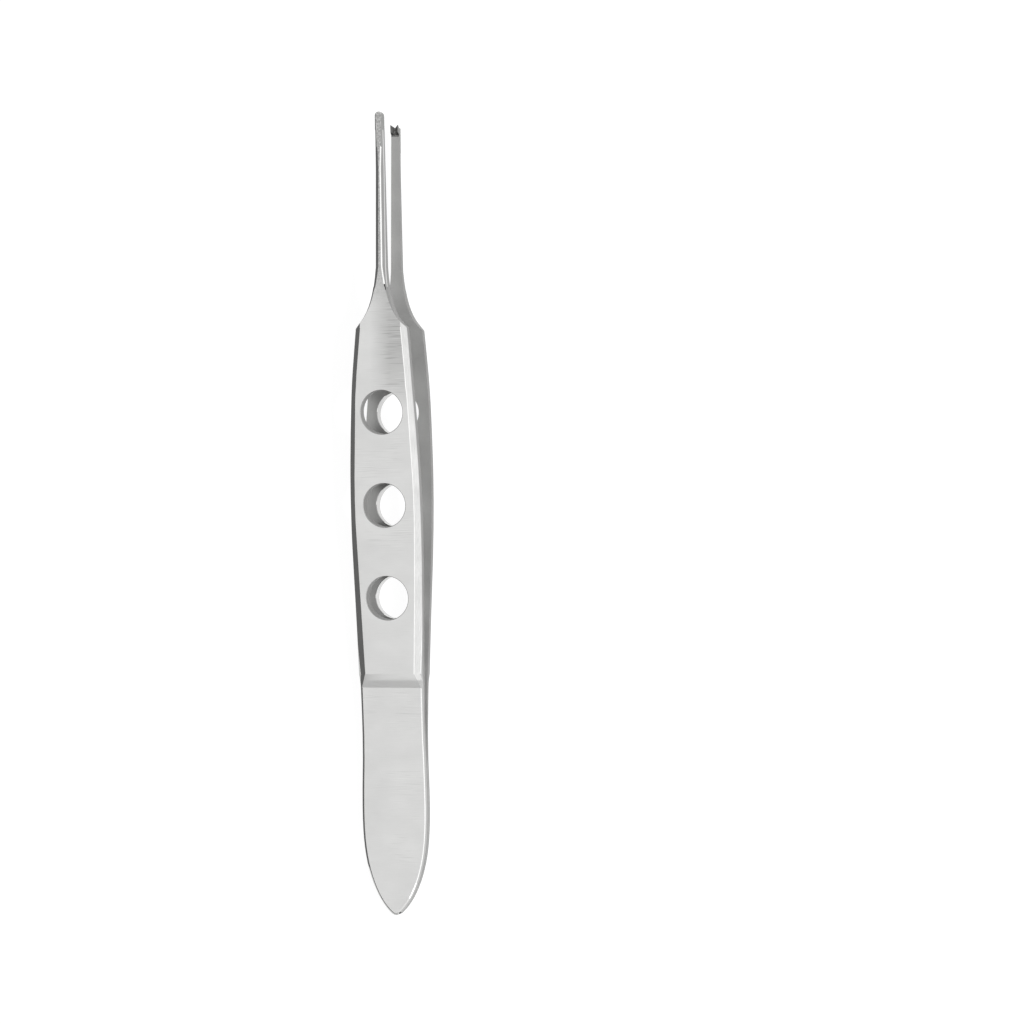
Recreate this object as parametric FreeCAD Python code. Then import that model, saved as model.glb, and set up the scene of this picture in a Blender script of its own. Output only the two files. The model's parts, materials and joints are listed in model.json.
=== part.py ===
"""Ophthalmic tissue forceps with one-into-two teeth, lying on one arm.

Two sprung steel arms meet in a leaf-shaped tail, where they are welded together.
Each arm is a thin leaf spring, then a thicker grip plate with three round holes,
then a slender shank that ends in its teeth.

Lengths run along the instrument from the tail end, and heights from the plane
midway between the arms. The finished forceps is then laid on a flat surface.
"""
import FreeCAD, Part
import math
import os
from FreeCAD import Rotation, Vector

# Lengths along the instrument
tail_length = 16.7
leaf_length = 7.8
ramp_length = 1.5
grip_length = 36.9
flare_length = 6.5
shank_length = 16.5
tip_flat_length = 6.0
tooth_setback = 0.75
belly_station = 11.1
waist_past_weld = 2.5
widest_before_shoulder = 18.9
elbow_before_shoulder = 6.1

# Widths of the outline
belly_width = 7.3
waist_width = 7.0
ramp_width = 7.1
grip_width = 7.78
elbow_width = 6.7
shoulder_width = 5.7
shank_root_width = 1.15
tip_width = 0.88
shoulder_radius = 0.3
nose_radius = 0.7
nose_point_past_end = 0.14

# Hollow curve of the flare: its angles to the length, and how far it holds each of them
flare_start_angle = 52
flare_end_angle = 3.4
flare_start_hold = 2.0
flare_end_hold = 3.0

# Thicknesses
leaf_thickness = 0.65
grip_thickness = 1.22
shank_thickness = 1.15
tip_thickness = 0.6

# Angles of one arm to the plane midway between the arms, in degrees
arm_splay = 3.45
neck_splay = -0.7
shank_splay = 1.1
elbow_radius = 8.0

# Broken and bevelled edges
leaf_edge = 0.2
seam_edge = 0.06
grip_bevel_width = 0.58
grip_bevel_depth = 0.4
grip_land_width = 0.22
shank_bevel_width = 0.34
shank_bevel_slope = 45
tip_bevel_width = 0.08
hole_edge = 0.06

# Holes in the grip plates
hole_diameter = 4.68
hole_pitch = 9.9
hole_count = 3
last_hole_before_shoulder = 8.9

# Teeth
tooth_height = 0.38
tooth_base_length = 0.8
tooth_lean = 0.3
tooth_peak_width = 0.06
tooth_clearance = 0.04
wedge_crest_length = 0.45
wedge_crest_width = 0.05

# Stations that follow from the lengths
weld_front = tail_length
ramp_foot = weld_front + leaf_length
ramp_top = ramp_foot + ramp_length
shoulder = ramp_top + grip_length
shank_root = shoulder + flare_length
tip = shank_root + shank_length
flat_start = tip - tip_flat_length
toothed_end = tip - tooth_setback
elbow = shoulder - elbow_before_shoulder
last_hole = shoulder - last_hole_before_shoulder

# The nose of the tail, as shares of the belly's half width and of its station
nose_form = [(0.28, 0.072), (0.575, 0.225), (0.80, 0.42)]


def mirrored(shape):
    """The same shape on the other side of the plane midway between the arms."""
    return shape.mirror(Vector(0, 0, 0), Vector(0, 0, 1))


def flipped(shape):
    """The same shape on the left of the centre line."""
    return shape.mirror(Vector(0, 0, 0), Vector(1, 0, 0))


def inner_height(station):
    """Height of the upper arm's inner face."""
    height = (min(station, elbow) - weld_front) * math.tan(math.radians(arm_splay))
    past_elbow = max(0.0, min(station, shank_root) - elbow)
    past_root = max(0.0, station - shank_root)
    height += past_elbow * math.tan(math.radians(neck_splay))
    return height + past_root * math.tan(math.radians(shank_splay))


def between(start, end, share):
    """The value that lies a share of the way from start to end."""
    return start + (end - start) * share


def thickness(station):
    """Thickness of an arm, from its leaf spring to its tip."""
    if station <= ramp_foot:
        return leaf_thickness
    if station <= ramp_top:
        return between(leaf_thickness, grip_thickness, (station - ramp_foot) / ramp_length)
    if station <= shoulder:
        return grip_thickness
    if station <= shank_root:
        return between(grip_thickness, shank_thickness, (station - shoulder) / flare_length)
    return between(shank_thickness, tip_thickness, (station - shank_root) / shank_length)


def outer_height(station):
    """Height of the upper arm's outer face."""
    return inner_height(station) + thickness(station)


def side_curve():
    """Right edge of the tail, the leaf and the grip, from the nose to the shoulder."""
    half = belly_width / 2
    points = [Vector(0, -nose_point_past_end, 0)]
    points += [Vector(half * across, belly_station * along, 0) for across, along in nose_form]
    stations = [
        (belly_width, belly_station),
        (waist_width, weld_front + waist_past_weld),
        (ramp_width, ramp_top),
        (grip_width, shoulder - widest_before_shoulder),
        (elbow_width, elbow),
        (shoulder_width, shoulder),
    ]
    points += [Vector(width / 2, station, 0) for width, station in stations]
    curve = Part.BSplineCurve()
    curve.interpolate(Points=points)
    return curve


def flare_curve():
    """Hollow curve from the shoulder down to the shank."""
    start = Vector(shoulder_width / 2, shoulder, 0)
    end = Vector(shank_root_width / 2, shank_root, 0)
    lead = math.radians(flare_start_angle)
    ease = math.radians(flare_end_angle)
    curve = Part.BezierCurve()
    curve.setPoles(
        [
            start,
            start + Vector(-math.sin(lead), math.cos(lead), 0) * flare_start_hold,
            end + Vector(math.sin(ease), -math.cos(ease), 0) * flare_end_hold,
            end,
        ]
    )
    return curve


SIDE = side_curve()
FLARE = flare_curve()
root_half = shank_root_width / 2
shoulder_half = shoulder_width / 2


def half_width_on(curve, station):
    """How far out a curve of the outline is at a station, found by halving."""
    low, high = curve.FirstParameter, curve.LastParameter
    for _ in range(40):
        middle = (low + high) / 2
        if curve.value(middle).y < station:
            low = middle
        else:
            high = middle
    return curve.value(low).x


def side_half_width(station):
    """Half the width of the grip at a station, without the flare that narrows it."""
    if station >= shoulder:
        slope = SIDE.tangent(SIDE.LastParameter)[0]
        return shoulder_half + (station - shoulder) * slope.x / slope.y
    return half_width_on(SIDE, station)


def slim_half_width(station):
    """Half the width of the flare and the shank at a station."""
    if station >= shank_root:
        return between(root_half, tip_width / 2, (station - shank_root) / shank_length)
    return half_width_on(FLARE, station)


def outline_prism(end, rounded):
    """Everything inside the outline seen from above, up to the tip at end."""
    round_start = end - tip_width / 2 if rounded else end
    corner = Vector(slim_half_width(round_start), round_start, 0)
    right = [SIDE.toShape(), FLARE.toShape()]
    right.append(Part.makeLine(Vector(root_half, shank_root, 0), corner))
    left_corner = Vector(-corner.x, corner.y, 0)
    if rounded:
        across = Part.Arc(corner, Vector(0, end, 0), left_corner).toShape()
    else:
        across = Part.makeLine(corner, left_corner)
    edges = right + [across] + [flipped(edge) for edge in right]
    outline = Part.Wire(Part.__sortEdges__(edges))
    depth = 2 * outer_height(elbow)
    prism = Part.Face(outline).extrude(Vector(0, 0, 2 * depth))
    prism.translate(Vector(0, 0, -depth))
    prism = prism.makeFillet(shoulder_radius, upright_edges(prism, shoulder))
    return prism.makeFillet(nose_radius, upright_edges(prism, -nose_point_past_end))


def upright_edges(prism, station):
    """The corner edges of the outline's prism at one station."""
    found = []
    for edge in prism.Edges:
        box = edge.BoundBox
        if box.ZLength > grip_thickness and abs(box.YMin - station) + box.YLength < 1e-3:
            found.append(edge)
    return found


def side_prism():
    """Everything between the upper arm's inner and outer faces, from the weld on."""
    inner = [weld_front, elbow, shank_root, tip]
    outer = [tip, shank_root, shoulder, elbow, ramp_top, ramp_foot, weld_front]
    points = [Vector(0, s, inner_height(s)) for s in inner]
    points += [Vector(0, s, outer_height(s)) for s in outer]
    edges = []
    start = points[0]
    for before, corner, after in zip(points, points[1:], points[2:] + points[:1]):
        if abs(corner.y - elbow) < 1e-9:
            bend_start, bend_end = bend_ends(before, corner, after)
            edges.append(Part.makeLine(start, bend_start))
            edges.append(bend_arc(bend_start, corner, bend_end))
            start = bend_end
        else:
            edges.append(Part.makeLine(start, corner))
            start = corner
    edges.append(Part.makeLine(start, points[0]))
    prism = Part.Face(Part.Wire(edges)).extrude(Vector(2 * grip_width, 0, 0))
    prism.translate(Vector(-grip_width, 0, 0))
    return prism


def bend_ends(before, corner, after):
    """Where the round bend at the elbow leaves its two straight runs."""
    back = (before - corner).normalize()
    ahead = (after - corner).normalize()
    turn = math.pi - back.getAngle(ahead)
    setback = elbow_radius * math.tan(turn / 2)
    return corner + back * setback, corner + ahead * setback


def bend_arc(bend_start, corner, bend_end):
    """Round bend that touches both runs, through the middle of its arc."""
    chord_middle = (bend_start + bend_end) * 0.5
    half_chord = (bend_end - bend_start).Length / 2
    rise = elbow_radius - math.sqrt(elbow_radius**2 - half_chord**2)
    middle = chord_middle + (corner - chord_middle).normalize() * rise
    return Part.Arc(bend_start, middle, bend_end).toShape()


def bevel_cutter(stations, ruled):
    """Metal that a bevel takes off one long edge of an arm.

    Each station holds where it is, where the flat face ends, how wide and deep the
    bevel is there, and how far out it is carried before its floor runs level.
    """
    wires = []
    for station, face_half, width, depth, reach in stations:
        fall = depth / width
        top = outer_height(station)
        rise = 0.5 * depth
        start = Vector(face_half - rise / fall, station, top + rise)
        foot = Vector(face_half + reach, station, top - reach * fall)
        far = face_half + reach + grip_width
        corners = [start, foot, Vector(far, station, foot.z), Vector(far, station, start.z)]
        wires.append(Part.makePolygon(corners + corners[:1]))
    return Part.makeLoft(wires, True, ruled)


def leaf_bevel_station(station):
    """The leaf has only a small broken edge."""
    face_half = side_half_width(station) - leaf_edge
    return (station, face_half, leaf_edge, leaf_edge, 2 * leaf_edge)


def grip_bevel_station(station):
    """The bevel leaves a narrow land outside it, which fades out along the grip."""
    middle = shoulder - widest_before_shoulder
    fade = min(1.0, max(0.0, (station - ramp_top) / (middle - ramp_top)))
    land = grip_land_width * (1 - fade)
    reach = grip_bevel_width * (1 + fade)
    face_half = side_half_width(station) - grip_bevel_width - land
    return (station, face_half, grip_bevel_width, grip_bevel_depth, reach)


def shank_bevel_station(station):
    """The bevels of the shank grow from the shoulder to its root and fade at the flat tip."""
    growth = min(1.0, (station - shoulder) / flare_length)
    fade = max(0.0, (station - flat_start) / tip_flat_length)
    width = between(shank_bevel_width * growth, tip_bevel_width, fade)
    depth = width * math.tan(math.radians(shank_bevel_slope))
    return (station, slim_half_width(station) - width, width, depth, 2 * width)


def edge_bevels():
    """All the metal taken off the right edge of the upper arm."""
    widest = shoulder - widest_before_shoulder
    overrun = shoulder + flare_length / 3
    grip = [between(ramp_top, widest, share) for share in (0, 0.2, 0.4, 0.6, 0.8, 1)]
    grip += [between(widest, elbow, share) for share in (0.35, 0.7, 1)]
    grip += [between(elbow, shoulder, share) for share in (0.5, 1)]
    flare = [between(shoulder, shank_root, share) for share in (0.08, 0.3, 0.6, 1)]
    leaf = [weld_front - leaf_edge, weld_front + waist_past_weld, ramp_foot]
    return [
        bevel_cutter([leaf_bevel_station(s) for s in leaf], True),
        bevel_cutter([leaf_bevel_station(ramp_foot), grip_bevel_station(ramp_top)], True),
        bevel_cutter([grip_bevel_station(s) for s in grip + [overrun]], False),
        bevel_cutter([shank_bevel_station(s) for s in flare], False),
        bevel_cutter([shank_bevel_station(s) for s in (shank_root, flat_start, tip)], True),
    ]


def grip_holes():
    """The round holes through a grip plate, with their rims broken."""
    tilt = math.radians(arm_splay)
    through = Vector(0, -math.sin(tilt), math.cos(tilt))
    radius = hole_diameter / 2
    drills = []
    for count in range(hole_count):
        station = last_hole - count * hole_pitch
        inner = Vector(0, station, inner_height(station))
        outer = inner + through * (grip_thickness * math.cos(tilt))
        drills.append(
            Part.makeCylinder(radius, 4 * grip_thickness, inner - through * grip_thickness, through)
        )
        for rim, direction in ((outer, through), (inner, through * -1)):
            start = rim - direction * hole_edge
            drills.append(
                Part.makeCone(radius, radius + 2 * hole_edge, 2 * hole_edge, start, direction)
            )
    return drills


def arm_blank(end, rounded):
    """An upper arm without its teeth."""
    blank = side_prism().common(outline_prism(end, rounded))
    right = edge_bevels()
    return blank.cut(right + [flipped(cutter) for cutter in right] + grip_holes())


def tooth_prism(profile, half_width):
    """A solid of the given side profile, as wide as the shank at the tip."""
    points = [Vector(-half_width, station, height) for station, height in profile]
    face = Part.Face(Part.makePolygon(points + points[:1]))
    return face.extrude(Vector(2 * half_width, 0, 0))


def two_teeth():
    """Two pointed teeth side by side, which lean forwards, with a groove between."""
    face = inner_height(toothed_end)
    crest = face - tooth_height
    blade_end = toothed_end - tooth_lean
    half = slim_half_width(toothed_end)
    root = face + tip_thickness / 2
    profile = [
        (blade_end - tooth_base_length, root),
        (blade_end - tooth_base_length, face),
        (toothed_end - tooth_base_length, between(face, crest, 0.8)),
        (toothed_end - tooth_peak_width, crest),
        (toothed_end, crest),
        (blade_end, face),
        (blade_end, root),
    ]
    block = tooth_prism(profile, half)
    mouth = 2 * (half - tooth_peak_width)
    below = face - 2 * tooth_height
    behind = blade_end - 2 * tooth_base_length
    groove = Part.makePolygon(
        [
            Vector(0, behind, face),
            Vector(mouth, behind, below),
            Vector(-mouth, behind, below),
            Vector(0, behind, face),
        ]
    )
    return block.cut(Part.Face(groove).extrude(Vector(0, 4 * tooth_base_length, 0)))


def one_tooth():
    """The single wedge that closes into the groove between the two teeth."""
    face = inner_height(toothed_end)
    reach = tooth_height - tooth_clearance
    half = slim_half_width(toothed_end) - 2 * tooth_clearance
    crest_half = wedge_crest_width / 2
    front = toothed_end - tooth_clearance
    back = front - wedge_crest_length
    sink = tip_thickness / 4
    spread = (half - crest_half) * sink / reach
    rings = []
    for rise, half_width, grow in ((sink, half + spread, 1.0), (-reach, crest_half, 0.0)):
        y_back = back - grow * tooth_lean
        y_front = front + grow * (tooth_setback - 2 * tooth_clearance)
        corners = [
            Vector(-half_width, y_back, face + rise),
            Vector(half_width, y_back, face + rise),
            Vector(half_width, y_front, face + rise),
            Vector(-half_width, y_front, face + rise),
        ]
        rings.append(Part.makePolygon(corners + corners[:1]))
    wedge = Part.makeLoft(rings, True, True)
    return wedge.common(outline_prism(tip, True))


def resting_incline():
    """Angle at which the arm's elbow and the tail end touch a flat surface together."""
    rise = outer_height(elbow) - leaf_thickness
    return math.degrees(math.atan2(rise, elbow - leaf_edge))


def closing_angle():
    """Angle each arm turns about the weld's front edge until the teeth are home."""
    station = toothed_end - tooth_peak_width
    closed_half_gap = (tooth_height + tooth_clearance) / 2
    reach = station - weld_front
    opened = math.atan2(inner_height(station), reach)
    return math.degrees(opened - math.atan2(closed_half_gap, reach))


def welded_tail():
    """Both leaves from the tail end to the front of the weld, joined face to face."""
    corner = Vector(-grip_width, -grip_width, 0)
    slab = Part.makeBox(2 * grip_width, shoulder, leaf_thickness, corner)
    leaf = outline_prism(tip, True).common(slab)
    leaf = leaf.makeChamfer(leaf_edge, leaf_rims(leaf, leaf_thickness))
    leaf = leaf.makeChamfer(seam_edge, leaf_rims(leaf, 0))
    behind_weld = Part.makeBox(2 * grip_width, grip_width + weld_front, leaf_thickness, corner)
    leaf = leaf.common(behind_weld)
    return leaf.fuse(mirrored(leaf)).removeSplitter()


def leaf_rims(leaf, height):
    """Long edges of the tail's leaf at one height, without its cut end."""
    found = []
    for edge in leaf.Edges:
        box = edge.BoundBox
        level = abs(box.ZMin - height) + box.ZLength < 1e-6
        across = box.YLength < 1e-6
        if level and not across:
            found.append(edge)
    return found


one_tooth_arm = arm_blank(tip, True).fuse(one_tooth()).removeSplitter()
two_tooth_arm = mirrored(arm_blank(toothed_end - tooth_lean, False).fuse(two_teeth()))
two_tooth_arm = two_tooth_arm.removeSplitter()
nodes = {
    "welded_tail": welded_tail(),
    "one_tooth_arm": one_tooth_arm,
    "two_tooth_arm": two_tooth_arm,
}

# Laid on a flat surface: the middle of its outline's box is the origin
incline = resting_incline()
laid = FreeCAD.Placement(Vector(), Rotation(Vector(1, 0, 0), incline))
turned = Part.makeCompound([shape.transformed(laid.toMatrix()) for shape in nodes.values()])
box = turned.optimalBoundingBox(False, False)
rest = Vector(0, -(box.YMin + box.YMax) / 2, -box.ZMin)
laid = FreeCAD.Placement(rest, Rotation(Vector(1, 0, 0), incline))

os.makedirs("parts", exist_ok=True)
for name, shape in nodes.items():
    solid = shape.transformed(laid.toMatrix())
    solid.exportStep("parts/" + name + ".step")
    print(name, "solids", len(solid.Solids), "valid", solid.isValid(), "mm3", round(solid.Volume, 2))

print("lying at", round(incline, 3), "degrees, arms close by", round(closing_angle(), 3))
print("weld front line at", laid.multVec(Vector(0, weld_front, 0)))
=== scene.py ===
# %% [markdown]
# Ophthalmic tissue forceps: two sprung stainless steel arms, welded together at the tail, that end
# in one tooth over two. The solids come measured and fixed, with a body for the tail and one for
# each arm. What is left for Blender is what the eye reads as surgical steel: edges broken with a
# stone, faces brushed across, blasted inner sides, and close lines across the leaves where they bend.

# %% Load the measured solids
import bmesh
import bpy
import json
import math
from mathutils import Matrix, Vector


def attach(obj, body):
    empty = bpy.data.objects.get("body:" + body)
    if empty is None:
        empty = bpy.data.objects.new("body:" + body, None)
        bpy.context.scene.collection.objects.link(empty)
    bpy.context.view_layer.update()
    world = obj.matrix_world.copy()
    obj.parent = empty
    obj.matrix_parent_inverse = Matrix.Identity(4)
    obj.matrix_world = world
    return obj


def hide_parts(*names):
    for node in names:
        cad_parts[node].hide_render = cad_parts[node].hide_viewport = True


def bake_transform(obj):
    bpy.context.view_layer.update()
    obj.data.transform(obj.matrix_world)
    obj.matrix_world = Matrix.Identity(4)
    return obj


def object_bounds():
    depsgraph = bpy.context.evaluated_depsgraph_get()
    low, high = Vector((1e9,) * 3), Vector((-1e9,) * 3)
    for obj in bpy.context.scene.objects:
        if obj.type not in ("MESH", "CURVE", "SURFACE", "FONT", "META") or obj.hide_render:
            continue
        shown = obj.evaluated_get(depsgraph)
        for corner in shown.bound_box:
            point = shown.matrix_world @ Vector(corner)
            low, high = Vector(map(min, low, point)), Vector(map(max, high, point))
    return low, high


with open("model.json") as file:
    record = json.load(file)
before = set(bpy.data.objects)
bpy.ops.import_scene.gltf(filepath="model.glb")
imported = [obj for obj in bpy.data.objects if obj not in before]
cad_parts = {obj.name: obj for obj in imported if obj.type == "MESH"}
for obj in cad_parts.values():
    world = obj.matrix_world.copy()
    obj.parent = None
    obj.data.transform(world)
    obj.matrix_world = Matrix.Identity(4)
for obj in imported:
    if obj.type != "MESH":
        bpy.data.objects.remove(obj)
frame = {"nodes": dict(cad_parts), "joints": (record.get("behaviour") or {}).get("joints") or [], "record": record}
cad_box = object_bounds()

# %% [markdown]
# The forceps lies on one elbow and its tail end, so it is tilted a little against the floor. Three
# directions and one point describe that lie: across, along and up from the plane midway between the
# arms, and the front line of the weld. They could be typed in as angles, but the record already
# holds the outward axes of the two grip faces, and the mean of those is the way up, so they are
# worked out from there and follow the solids if these are made again.

# %% Directions and stations of the forceps
MM = 0.001
record = frame["record"]
face_axis = {mount["name"]: Vector(mount["axis"]) for mount in record["mounts"]}
ACROSS = Vector((1, 0, 0))
UP = (face_axis["upper_grip_face"] - face_axis["lower_grip_face"]).normalized()
ALONG = UP.cross(ACROSS)
WELD_FRONT = Vector(frame["joints"][0]["pos_m"])

# Stations in millimetres ahead of the weld's front line
RAMP_FOOT = 7.8
RAMP_TOP = 9.3
ELBOW = 40.1
SHOULDER = 46.2
FACET_START = 49.8
SHANK_ROOT = 52.7
TOOTH_FOOT = 67.3
TIP = 69.2
HOLE_STATIONS = (17.5, 27.4, 37.3)
HOLE_RADIUS = 2.34


def place(across, station, height):
    """A point given in millimetres along the forceps's own directions."""
    return WELD_FRONT + (ACROSS * across + ALONG * station + UP * height) * MM


def measure(point):
    """The millimetres across, along and up of a point."""
    offset = point - WELD_FRONT
    return Vector((offset.dot(ACROSS), offset.dot(ALONG), offset.dot(UP))) / MM


print("lies at", round(math.degrees(math.atan2(-UP.y, UP.z)), 2), "degrees to the floor")

# %% [markdown]
# A solid's mesh comes as thin triangles. Bending and edge breaking both need a mesh that follows
# the form: flat faces as single polygons, and cross lines where the leaf spring flexes. It could be
# remeshed with voxels, which would soften the bevels, or modelled again by hand, which could drift
# from the solid. Here the flat triangles are dissolved into whole faces, and planes then cut in
# only the lines that are needed: close ones in the leaf, which bends, and a few in the long facets
# of the shank, where a broken edge would otherwise twist between two far corners.

# %% Clean polygons from a solid, with the lines that bending needs
MERGE_DISTANCE = 2e-7
FLAT_ANGLE = math.radians(0.6)
LEAF_LINE_SPACING = 0.52
SHANK_LINE_SPACING = 1.8


def clean_copy(node):
    """The solid's mesh with its flat triangles joined into whole faces."""
    mesh = bmesh.new()
    mesh.from_mesh(frame["nodes"][node].data)
    bmesh.ops.remove_doubles(mesh, verts=mesh.verts, dist=MERGE_DISTANCE)
    bmesh.ops.dissolve_limit(mesh, angle_limit=FLAT_ANGLE, verts=mesh.verts, edges=mesh.edges)
    for face in mesh.faces:
        face.smooth = True
    return mesh


def cut_across(mesh, station):
    """A line round the mesh where a plane square to the forceps meets it."""
    parts = mesh.verts[:] + mesh.edges[:] + mesh.faces[:]
    bmesh.ops.bisect_plane(mesh, geom=parts, plane_co=place(0, station, 0), plane_no=ALONG)


def cut_lines(mesh, first, last, spacing):
    """Lines round the mesh after the station first, evenly spaced and with one at the last."""
    count = round((last - first) / spacing)
    for line in range(1, count + 1):
        cut_across(mesh, first + (last - first) * line / count)


# %% [markdown]
# On the bench the long edges are broken with a fine stone, so each carries a thin flat band that
# catches the light: the white line along the shank comes from it. A modifier could break every edge
# at once, but the rims of the holes, the teeth and the inner faces must stay crisp. So the edges
# are picked by the angle between their faces and by where they lie, and only those are bevelled,
# by 0.04 mm at the grip, 0.08 mm at the shank and 0.06 mm round the leaf.

# %% Broken edges
EDGE_BREAK = 0.04
SHANK_BREAK = 0.08
RIM_BREAK = 0.06
HOLE_RIM = 0.3
AT_WELD = 0.001
SHARP_ANGLE = math.radians(24)

# How much of an edge runs lengthwise, and of a face's normal points in or out
LENGTHWISE = 0.5
LOOKS_IN = 0.9
LOOKS_OUT = 0.98


def over_hole(spot, margin):
    """Whether a measured spot lies over a hole or within a margin in mm round it."""
    return any(math.hypot(spot.x, spot.y - s) < HOLE_RADIUS + margin for s in HOLE_STATIONS)


def long_sharp_edges(mesh, first, last, inward):
    """The sharp edges that run lengthwise between two stations.

    The rims of the holes and the edges of the inner face are left out.
    """
    found = []
    for edge in mesh.edges:
        spots = [measure(vert.co) for vert in edge.verts]
        run = (spots[1] - spots[0]).normalized()
        if len(edge.link_faces) != 2 or edge.calc_face_angle() < SHARP_ANGLE:
            continue
        if abs(run.y) < LENGTHWISE or any(over_hole(spot, HOLE_RIM) for spot in spots):
            continue
        if any(not first <= spot.y <= last for spot in spots):
            continue
        if any(face.normal.dot(inward) > LOOKS_IN for face in edge.link_faces):
            continue
        found.append(edge)
    return found


def outer_rim_edges(mesh, last):
    """The edges round the outer face of a leaf, up to the station last."""
    found = []
    for edge in mesh.edges:
        spots = [measure(vert.co) for vert in edge.verts]
        if len(edge.link_faces) != 2 or edge.calc_face_angle() < SHARP_ANGLE:
            continue
        outward = UP if spots[0].z > 0 else -UP
        looks_out = any(face.normal.dot(outward) > LOOKS_OUT for face in edge.link_faces)
        at_the_weld = all(abs(spot.y) < AT_WELD for spot in spots)
        if looks_out and not at_the_weld and max(spot.y for spot in spots) <= last:
            found.append(edge)
    return found


def break_edges(mesh, edges, width):
    """Stones a flat band along the given edges, which takes a width in mm off each side."""
    made = bmesh.ops.bevel(
        mesh, geom=edges, offset=width * MM, segments=1, profile=0.5, affect="EDGES",
        clamp_overlap=False,
    )
    for face in made["faces"]:
        face.smooth = False
    print("edges broken by", width, "mm:", len(edges))


# %% [markdown]
# Colours are written as the hex values that a colour picker shows. A shader wants linear light, so
# one function turns them over. A second small function adds a node with its settings and its links,
# which keeps each material short enough to read in one go.

# %% Colour and node helpers
def linear(hex_colour):
    """An sRGB hex colour as the linear red, green, blue and alpha of a shader."""
    shares = [int(hex_colour[i : i + 2], 16) / 255 for i in (1, 3, 5)]
    lit = [s / 12.92 if s <= 0.04045 else ((s + 0.055) / 1.055) ** 2.4 for s in shares]
    return (*lit, 1.0)


def add(tree, kind, settings, inputs):
    """One node: settings are its options, and inputs are values or sockets to link."""
    new = tree.nodes.new(kind)
    for name, value in settings.items():
        setattr(new, name, value)
    for name, value in inputs.items():
        if isinstance(value, bpy.types.NodeSocket):
            tree.links.new(value, new.inputs[name])
        else:
            new.inputs[name].default_value = value
    return new


def empty_material(name):
    """A new material with nothing but its output node."""
    material = bpy.data.materials.new(name)
    material.use_nodes = True
    material.node_tree.nodes.clear()
    return material, material.node_tree


# %% [markdown]
# The broad faces are satin brushed stainless steel: a belt dragged across the arm leaves parallel
# scratches a few hundredths of a millimetre apart, which blur a reflection and show as fine
# crosswise lines. The lines could be an image, but a noise field squeezed along the arm and
# stretched across it has no resolution to run out of. At the true spacing they would vanish
# between the pixels, so the deeper scratches are drawn about 0.1 mm wide and in loose groups, as a
# worn belt leaves them. The pattern is tied to each point's place at rest, so it bends with the
# leaf.

# %% Satin brushed stainless steel
REST_PLACE = "rest_mm"
GRAIN_WIDTH = 0.06
SCRATCH_WIDTH = 0.1
SCRATCH_LENGTH = 3.2
GROUP_SIZE = 5.0

# Most of a noise field lies between these two values
LOW, HIGH = 0.3, 0.7


def rest_place(tree):
    """Millimetres across, along and up at rest, wherever the piece has moved since."""
    return add(tree, "ShaderNodeAttribute", {"attribute_name": REST_PLACE}, {}).outputs["Vector"]


def streaks(tree, place_socket, sizes, detail):
    """A noise field whose grains measure the given millimetres across, along and up."""
    squeeze = tuple(1 / size for size in sizes)
    stretched = add(
        tree, "ShaderNodeVectorMath", {"operation": "MULTIPLY"}, {0: place_socket, 1: squeeze}
    ).outputs[0]
    return add(
        tree, "ShaderNodeTexNoise", {}, {"Vector": stretched, "Scale": 1.0, "Detail": detail}
    ).outputs["Fac"]


def spread(tree, value, low, high, to_low, to_high):
    """The value moved from one range to another, and held within it."""
    return add(
        tree, "ShaderNodeMapRange", {},
        {"Value": value, "From Min": low, "From Max": high, "To Min": to_low, "To Max": to_high},
    ).outputs[0]


def combined(tree, operation, first, second):
    """Two values put through one operation of a math node."""
    return add(tree, "ShaderNodeMath", {"operation": operation}, {0: first, 1: second}).outputs[0]


def two_scales(tree, fine, broad, share):
    """A fine and a broad noise added up to a tone from 0 to 1, with the fine one's share."""
    return combined(
        tree, "ADD",
        spread(tree, fine, LOW, HIGH, 0.0, share), spread(tree, broad, LOW, HIGH, 0.0, 1.0 - share),
    )


def between_colours(tree, share, first, second):
    """The first colour where the share is 0, and the second where it is 1."""
    return add(
        tree, "ShaderNodeMix", {"data_type": "RGBA"}, {0: share, 6: first, 7: second}
    ).outputs[2]


def steel_surface(tree, colour, roughness, height, depth):
    """Metal with a bump of the given depth in millimetres, led to the material's output."""
    bump = add(
        tree, "ShaderNodeBump", {}, {"Height": height, "Strength": 1.0, "Distance": depth * MM}
    ).outputs[0]
    steel = add(
        tree, "ShaderNodeBsdfPrincipled", {},
        {"Base Color": colour, "Metallic": 1.0, "Roughness": roughness, "Normal": bump},
    )
    add(tree, "ShaderNodeOutputMaterial", {}, {"Surface": steel.outputs[0]})


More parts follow.
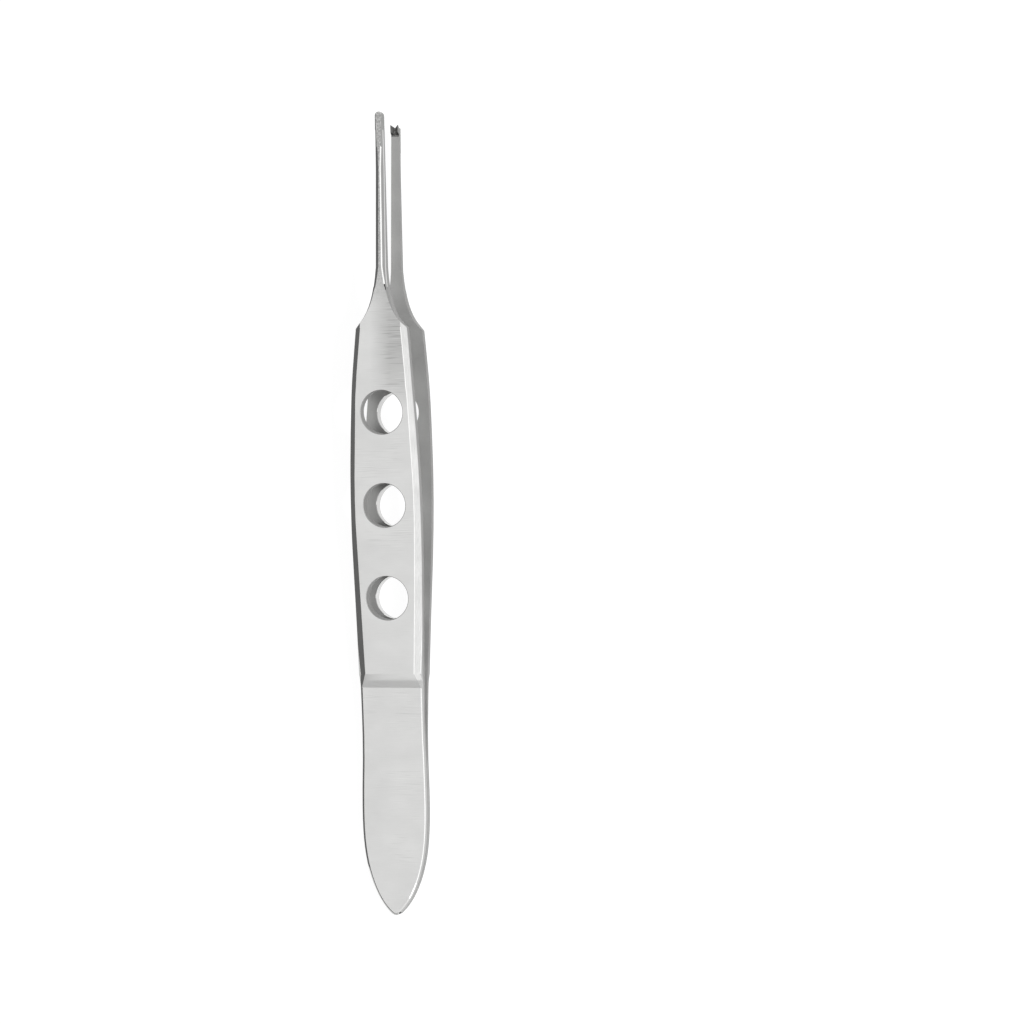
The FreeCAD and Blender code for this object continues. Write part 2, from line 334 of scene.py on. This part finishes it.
def satin_brushed_stainless():
    material, tree = empty_material("satin_brushed_stainless")
    rest = rest_place(tree)
    spot = add(tree, "ShaderNodeSeparateXYZ", {}, {"Vector": rest}).outputs
    grain = streaks(tree, rest, (1.2, GRAIN_WIDTH, 1.2), 2.0)
    scratch = streaks(tree, rest, (SCRATCH_LENGTH, SCRATCH_WIDTH, SCRATCH_LENGTH), 1.0)
    groups = spread(tree, streaks(tree, rest, (GROUP_SIZE,) * 3, 1.0), 0.5, 0.62, 0.0, 0.5)
    clouds = streaks(tree, rest, (4.0, 2.5, 4.0), 2.0)

    # The right half of the neck is belted again, which shows more scratches, and is darkened by painted shade;
    # bead blasting creeps in along the flare
    right_half = spread(tree, spot["X"], -1.2, 1.0, 0.0, 1.0)
    neck = spread(tree, spot["Y"], ELBOW - 2.5, ELBOW + 1.5, 0.0, 1.0)
    belted_and_shaded = combined(tree, "MULTIPLY", right_half, neck)
    blasted = spread(tree, spot["Y"], SHOULDER + 2.0, SHANK_ROOT + 2.5, 0.0, 1.0)

    groups = combined(tree, "MAXIMUM", groups, belted_and_shaded)
    dark_scratch = combined(tree, "MULTIPLY", spread(tree, scratch, 0.4, 0.28, 0.0, 1.0), groups)
    light_scratch = combined(tree, "MULTIPLY", spread(tree, scratch, 0.62, 0.76, 0.0, 1.0), groups)
    tone = combined(
        tree, "ADD",
        spread(tree, grain, LOW, HIGH, 0.4, 0.48), spread(tree, clouds, LOW, HIGH, 0.0, 0.2),
    )
    tone = combined(tree, "SUBTRACT", tone, combined(tree, "MULTIPLY", dark_scratch, 0.8))
    tone = combined(tree, "ADD", tone, combined(tree, "MULTIPLY", light_scratch, 0.5))
    colour = between_colours(tree, tone, linear("#C8C8C7"), linear("#E8E8E7"))
    # Painted shade: a darker colour for the right half of the neck
    painted_shade_colour = between_colours(tree, tone, linear("#A4A4A3"), linear("#D2D2D1"))
    colour = between_colours(tree, belted_and_shaded, colour, painted_shade_colour)
    speckle = spread(tree, streaks(tree, rest, (0.14, 0.2, 0.14), 2.0), 0.4, 0.62, 0.0, 1.0)
    dented = between_colours(tree, speckle, linear("#A2A2A1"), linear("#C8C8C7"))
    colour = between_colours(tree, blasted, colour, dented)
    roughness = combined(
        tree, "ADD",
        spread(tree, grain, LOW, HIGH, 0.295, 0.275), combined(tree, "MULTIPLY", blasted, 0.2),
    )
    height = combined(
        tree, "ADD", combined(tree, "MULTIPLY", grain, 0.5),
        combined(tree, "SUBTRACT", light_scratch, dark_scratch),
    )
    steel_surface(tree, colour, roughness, height, 0.0012)
    return material


# %% [markdown]
# Bevels, shank facets, broken edges and the lower arm's holes are finished on a finer wheel, so
# they mirror more sharply than the faces: the left bevels go dark and the right ones white with
# what stands round the forceps. It is the same steel with a lower roughness and faint lines
# lengthwise.

# %% Polished stainless steel on the edges
POLISH_WIDTH = 0.05
POLISH_LENGTH = 3.0


def polished_stainless_edges():
    material, tree = empty_material("polished_stainless_edges")
    rest = rest_place(tree)
    lines = streaks(tree, rest, (POLISH_WIDTH, POLISH_LENGTH, POLISH_WIDTH), 2.0)
    clouds = streaks(tree, rest, (1.5, 2.5, 1.5), 2.0)
    tone = two_scales(tree, lines, clouds, 0.6)
    colour = between_colours(tree, tone, linear("#DADAD9"), linear("#EFEFEE"))
    roughness = spread(tree, tone, 0.0, 1.0, 0.05, 0.08)
    steel_surface(tree, colour, roughness, lines, 0.00015)
    return material


# %% [markdown]
# The inner faces are not meant to shine at the surgeon, so they are bead blasted, and the side
# walls with them: glass beads leave dents a few hundredths of a millimetre wide that scatter the
# light almost evenly. That is why the far arm looks a plain mid grey beside the near one. Noise
# with no direction gives the dents.

# %% Bead blasted stainless steel on the inner faces
BEAD_DENT = 0.07


def bead_blasted_stainless():
    material, tree = empty_material("bead_blasted_stainless")
    rest = rest_place(tree)
    dents = streaks(tree, rest, (BEAD_DENT,) * 3, 2.0)
    clouds = streaks(tree, rest, (3.0, 3.0, 3.0), 3.0)
    tone = two_scales(tree, dents, clouds, 0.5)
    colour = between_colours(tree, tone, linear("#A0A09F"), linear("#B2B2B1"))
    roughness = spread(tree, tone, 0.0, 1.0, 0.6, 0.7)
    steel_surface(tree, colour, roughness, dents, 0.002)
    return material


# %% [markdown]
# The teeth are filed and then stoned by hand, which leaves fine marks lengthwise. Their flanks are a
# fraction of a millimetre high and face each other, and the shade between them is painted into
# their colour: the same steel in a darker tone, with the stone's marks, is enough at that size.

# %% Stoned stainless steel on the teeth, darkened with painted shade
STONE_WIDTH = 0.03
STONE_LENGTH = 0.4


def stoned_teeth_with_painted_shade():
    material, tree = empty_material("stoned_teeth_with_painted_shade")
    marks = streaks(tree, rest_place(tree), (STONE_WIDTH, STONE_LENGTH, STONE_WIDTH), 2.0)
    tone = spread(tree, marks, LOW, HIGH, 0.0, 1.0)
    # Painted shade: the teeth take a darker tone than the rest of the steel
    colour = between_colours(tree, tone, linear("#6E6E6D"), linear("#848483"))
    roughness = spread(tree, tone, 0.0, 1.0, 0.22, 0.28)
    steel_surface(tree, colour, roughness, marks, 0.0001)
    return material


FINISHES = [
    satin_brushed_stainless(),
    polished_stainless_edges(),
    bead_blasted_stainless(),
    stoned_teeth_with_painted_shade(),
]
SATIN, POLISHED, BLASTED, STONED_AND_SHADED = range(len(FINISHES))

# %% [markdown]
# Each piece is now one mesh object, and each face gets the finish of the step that made it. Side
# walls and the faces towards the other arm are blasted, and so are the upper arm's holes, which
# look dull in the photograph. The faces away from the other arm are satin. Bevels and the lower
# arm's holes are polished, and the teeth are stoned and painted darker for the shade between them.
# Smooth shading with its sharp edges kept leaves the long flats flat, and a weighted normal lets
# the large faces rule where two meet.

# %% Dress a mesh as a piece of the forceps
HOLE_MARGIN = 0.1
KEPT_SHARP = math.radians(32)

# How much of a face's normal points to the side, upwards or to the other arm
SLOPING_SIDEWAYS = 0.25
WALL_OF_HOLE = 0.8
SIDE_WALL = 0.2
ON_TOOTH = 0.2
INWARD = 0.7


def finish_of(face, inward):
    """The number of a face's finish, from where it lies and which way it looks."""
    middle = measure(face.calc_center_median())
    towards_other_arm = face.normal.dot(inward)
    upright = abs(face.normal.dot(UP))
    if over_hole(middle, HOLE_MARGIN) and upright < WALL_OF_HOLE:
        return BLASTED if inward.dot(UP) < 0 else POLISHED
    # The teeth get the stoned finish, which carries painted shade
    if middle.y > TOOTH_FOOT and towards_other_arm > ON_TOOTH:
        return STONED_AND_SHADED
    if towards_other_arm > INWARD or upright < SIDE_WALL:
        return BLASTED
    return POLISHED if abs(face.normal.dot(ACROSS)) > SLOPING_SIDEWAYS else SATIN


def dress(mesh, name, inward):
    """Turns a bmesh into a named object with its finishes and its rest places.

    No corner is left outside the solids' own width.
    """
    mesh.normal_update()
    for vert in mesh.verts:
        vert.co.x = min(max(vert.co.x, cad_box[0][0]), cad_box[1][0])
    for face in mesh.faces:
        face.material_index = finish_of(face, inward)
    for edge in mesh.edges:
        edge.smooth = len(edge.link_faces) == 2 and edge.calc_face_angle() < KEPT_SHARP
    data = bpy.data.meshes.new(name)
    mesh.to_mesh(data)
    mesh.free()
    for material in FINISHES:
        data.materials.append(material)
    rest = data.attributes.new(REST_PLACE, "FLOAT_VECTOR", "POINT")
    for value, vert in zip(rest.data, data.vertices):
        value.vector = measure(vert.co)
    piece = bpy.data.objects.new(name, data)
    bpy.context.scene.collection.objects.link(piece)
    weighted = piece.modifiers.new("even_flats", "WEIGHTED_NORMAL")
    weighted.keep_sharp = True
    print(name, len(data.vertices), "vertices", len(data.polygons), "faces")
    return piece


# %% [markdown]
# An arm is a spring only in its thin leaf. The solids stand in for that with a turn about the weld's
# front line, but a real leaf curves: nothing moves at the weld, and the whole turn has been made
# where the leaf thickens into the grip. The arms here get the close lines that such a curve needs,
# but are not bent.

# %% The two arms
LAST_BROKEN = TIP - 2.0
REACH = 0.1


def arm(node, name, inward):
    """One arm from its node, with its edges broken and lines cut across its leaf for bending."""
    mesh = clean_copy(node)
    cut_lines(mesh, 0, RAMP_FOOT, LEAF_LINE_SPACING)
    cut_lines(mesh, SHANK_ROOT, LAST_BROKEN, SHANK_LINE_SPACING)
    break_edges(mesh, outer_rim_edges(mesh, RAMP_FOOT), RIM_BREAK)
    grip_edges = long_sharp_edges(mesh, RAMP_TOP - REACH, SHOULDER + REACH, inward)
    break_edges(mesh, grip_edges, EDGE_BREAK)
    shank_edges = long_sharp_edges(mesh, FACET_START, LAST_BROKEN, inward)
    break_edges(mesh, shank_edges, SHANK_BREAK)
    piece = dress(mesh, name, inward)
    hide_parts(node)
    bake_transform(piece)


arm("one_tooth_arm", "sprung_arm_with_one_tooth", -UP)
arm("two_tooth_arm", "sprung_arm_with_two_teeth", UP)

# %% [markdown]
# The tail is both leaves joined face to face by a weld that leaves no bead of its own. It is the
# fixed part of the spring, so it rides on its own body.

# %% The welded tail
tail_mesh = clean_copy("welded_tail")
break_edges(tail_mesh, outer_rim_edges(tail_mesh, 0.0), RIM_BREAK)
tail = dress(tail_mesh, "welded_tail_leaves", Vector((0, 0, 0)))
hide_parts("welded_tail")
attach(tail, "tail")

# %% [markdown]
# Polished metal shows the room rather than itself, so the room is built as a photographer would:
# white paper under the forceps, a white room round it, and grey cards where the steel mirrors
# something darker. The left bevels mirror a card that stands on the left and one that lies beside
# the forceps, the right sides of the shank and the tail mirror lighter cards, and a board behind
# the camera keeps the inner faces from going white. The cards act on reflections only, so they
# throw no shadow and stay out of the picture.

# %% Floor, white surroundings and cards
PAPER_GLOW = 0.945
MIRRORED_GLOW = 0.75
ROOM_LIGHT = 0.27
FLOOR_HALF = 3.0


def seen_directly_or_mirrored(tree):
    """One where a ray comes from the camera, a mirror or a glass, and nought elsewhere."""
    rays = add(tree, "ShaderNodeLightPath", {}, {})
    pair = add(
        tree, "ShaderNodeMath", {"operation": "MAXIMUM"},
        {0: rays.outputs["Is Camera Ray"], 1: rays.outputs["Is Glossy Ray"]},
    )
    return add(
        tree, "ShaderNodeMath", {"operation": "MAXIMUM"},
        {0: pair.outputs[0], 1: rays.outputs["Is Transmission Ray"]},
    ).outputs[0]


def white_paper():
    """Paper whose own glow lifts it to white and leaves a faint shadow.

    The forceps mirrors a paper that glows less, so that its underside stays darker.
    """
    material, tree = empty_material("matt_white_paper")
    paper = add(tree, "ShaderNodeBsdfDiffuse", {}, {"Color": linear("#686868")})
    glow = add(
        tree, "ShaderNodeEmission", {}, {"Color": linear("#FFFFFF"), "Strength": PAPER_GLOW}
    )
    dim_glow = add(
        tree, "ShaderNodeEmission", {}, {"Color": linear("#FFFFFF"), "Strength": MIRRORED_GLOW}
    )
    plain = add(tree, "ShaderNodeBsdfDiffuse", {}, {"Color": linear("#F0F0F0")})
    seen = add(tree, "ShaderNodeAddShader", {}, {0: paper.outputs[0], 1: glow.outputs[0]})
    mirrored = add(tree, "ShaderNodeAddShader", {}, {0: paper.outputs[0], 1: dim_glow.outputs[0]})
    rays = add(tree, "ShaderNodeLightPath", {}, {}).outputs
    reflected = add(
        tree, "ShaderNodeMixShader", {},
        {0: rays["Is Glossy Ray"], 1: plain.outputs[0], 2: mirrored.outputs[0]},
    )
    directly = combined(tree, "MAXIMUM", rays["Is Camera Ray"], rays["Is Transmission Ray"])
    either = add(
        tree, "ShaderNodeMixShader", {}, {0: directly, 1: reflected.outputs[0], 2: seen.outputs[0]}
    )
    add(tree, "ShaderNodeOutputMaterial", {}, {"Surface": either.outputs[0]})
    return material


def card_material(name, colour):
    """A card as bright as its colour, whatever light falls on it."""
    material, tree = empty_material(name)
    glow = add(tree, "ShaderNodeEmission", {}, {"Color": linear(colour), "Strength": 1.0})
    add(tree, "ShaderNodeOutputMaterial", {}, {"Surface": glow.outputs[0]})
    return material


def sheet_between(name, corners, material):
    """A flat sheet through its corners, which belongs to the room."""
    data = bpy.data.meshes.new(name)
    data.from_pydata(corners, [], [tuple(range(len(corners)))])
    data.materials.append(material)
    made = bpy.data.objects.new(name, data)
    bpy.context.scene.collection.objects.link(made)
    return made


sheet_between(
    "paper_floor",
    [(-FLOOR_HALF, -FLOOR_HALF, 0), (FLOOR_HALF, -FLOOR_HALF, 0),
     (FLOOR_HALF, FLOOR_HALF, 0), (-FLOOR_HALF, FLOOR_HALF, 0)],
    white_paper(),
)


def reflection_card(name, corner, beside, above, material):
    """A card given by three of its corners, which only reflections see."""
    first, second, third = (Vector(point) for point in (corner, beside, above))
    card = sheet_between(name, [first, second, second + third - first, third], material)
    card.visible_camera = False
    card.visible_diffuse = False
    card.visible_shadow = False
    card.visible_transmission = False


dark_card = card_material("dark_grey_card", "#6C6C6C")
light_card = card_material("light_grey_card", "#B4B4B4")
pale_card = card_material("pale_grey_card", "#DADADA")
board = card_material("charcoal_board", "#404040")

# The room's sides and ends, and a sheet's height over the paper and its edge beside the forceps
LEFT, RIGHT = -0.12, 0.16
BEHIND, AHEAD = -0.4, 0.4
OVER_PAPER = 0.0004
BESIDE = -0.0055

# Name, one corner, the corner beside it, the corner above it, and material
cards = (
    ("left_card", (LEFT, BEHIND, 0), (LEFT, AHEAD, 0), (LEFT, BEHIND, 0.17), dark_card),
    ("left_table_card", (BESIDE, BEHIND, OVER_PAPER), (BESIDE, AHEAD, OVER_PAPER),
     (LEFT, BEHIND, OVER_PAPER), dark_card),
    ("right_card", (RIGHT, 0.012, 0), (RIGHT, AHEAD, 0), (RIGHT, 0.012, 0.09), light_card),
    ("card_right_of_the_tail", (RIGHT, BEHIND, 0), (RIGHT, -0.026, 0), (RIGHT, BEHIND, 0.09),
     pale_card),
    ("tail_end_card", (LEFT, BEHIND, 0), (RIGHT, BEHIND, 0), (LEFT, BEHIND, 0.27), dark_card),
    ("board_behind_the_camera", (0.04, -0.5, 0.8), (0.04, 0.5, 0.8), (0.72, -0.5, 0.8), board),
)
for card in cards:
    reflection_card(*card)

world = bpy.data.worlds.new("white_room")
world.use_nodes = True
sky = world.node_tree
sky.nodes.clear()
room_light = add(
    sky, "ShaderNodeBackground", {}, {"Color": linear("#FFFFFF"), "Strength": ROOM_LIGHT}
)
room_white = add(sky, "ShaderNodeBackground", {}, {"Color": linear("#FFFFFF"), "Strength": 1.0})
room = add(
    sky, "ShaderNodeMixShader", {},
    {0: seen_directly_or_mirrored(sky), 1: room_light.outputs[0], 2: room_white.outputs[0]},
)
add(sky, "ShaderNodeOutputWorld", {}, {"Surface": room.outputs[0]})
bpy.context.scene.world = world

# %% [markdown]
# Two lamps light the steel. A small bright one high on the right lights the faces and the spots
# that show through the holes. A broad dim one beside the camera is there to be mirrored by the
# broken edges, which gives the white line along the shank. An area lamp's power in watts is its
# radiance times pi times its area, so the radiance is chosen and the watts follow.

# %% Lamps
def area_lamp(name, position, target, size_x, size_y, radiance):
    """A lamp turned to its target, with sizes in metres and size_y along the forceps."""
    data = bpy.data.lights.new(name, "AREA")
    data.shape = "RECTANGLE"
    data.size = size_x
    data.size_y = size_y
    data.energy = radiance * math.pi * size_x * size_y
    lamp = bpy.data.objects.new(name, data)
    away = (position - target).normalized()
    side = ALONG.cross(away).normalized()
    turned = Matrix((side, away.cross(side), away)).transposed()
    lamp.matrix_world = Matrix.Translation(position) @ turned.to_4x4()
    bpy.context.scene.collection.objects.link(lamp)


LAMP_DISTANCE = 0.6
middle = place(0, 26, 0)


def towards(angle):
    """The direction that leans to the right of straight up by an angle in degrees."""
    return ACROSS * math.sin(math.radians(angle)) + UP * math.cos(math.radians(angle))


high_right = middle + towards(38.5) * LAMP_DISTANCE
by_camera = middle + towards(21) * LAMP_DISTANCE
area_lamp("compact_lamp_on_the_right", high_right, middle, 0.1, 0.1, 101.0)
area_lamp("broad_lamp_by_the_camera", by_camera, middle, 0.17, 0.8, 1.3)

# %% [markdown]
# The camera stands 300 mm from the forceps and 18 degrees round to its right, square to its length.
# In the picture the forceps is left of the middle. A lens shift would keep the lens axis square to
# it but would spoil every other view, so the camera is turned a little instead, to a point beside
# the forceps, and rolled by the small lean that the forceps has.

# %% Camera
VIEW_ANGLE = math.radians(18)
LEAN = math.radians(0.70)
CAMERA_DISTANCE = 300
SQUARE_STATION = 27.2
AIM_RIGHT = 12.84
AIM_DOWN = 0.75
SENSOR = 36
FIELD = 110.1

foot = place(0, SQUARE_STATION, 0)
back = ACROSS * math.sin(VIEW_ANGLE) + UP * math.cos(VIEW_ANGLE)
right = ACROSS * math.cos(VIEW_ANGLE) - UP * math.sin(VIEW_ANGLE)
camera_data = bpy.data.cameras.new("camera")
camera_data.sensor_width = SENSOR
camera_data.lens = SENSOR * CAMERA_DISTANCE / FIELD
camera_data.clip_start = 0.01
camera = bpy.data.objects.new("camera", camera_data)
bpy.context.scene.collection.objects.link(camera)
position = foot + back * CAMERA_DISTANCE * MM
aim = foot + (right * AIM_RIGHT - ALONG * AIM_DOWN) * MM
looking_back = (position - aim).normalized()
picture_up = ALONG * math.cos(LEAN) + right * math.sin(LEAN)
picture_right = picture_up.cross(looking_back).normalized()
picture_up = looking_back.cross(picture_right)
turned = Matrix((picture_right, picture_up, looking_back)).transposed()
camera.matrix_world = Matrix.Translation(position) @ turned.to_4x4()
bpy.context.scene.camera = camera
bpy.context.scene.view_settings.view_transform = "Standard"
print("lens", round(camera_data.lens, 1), "mm")
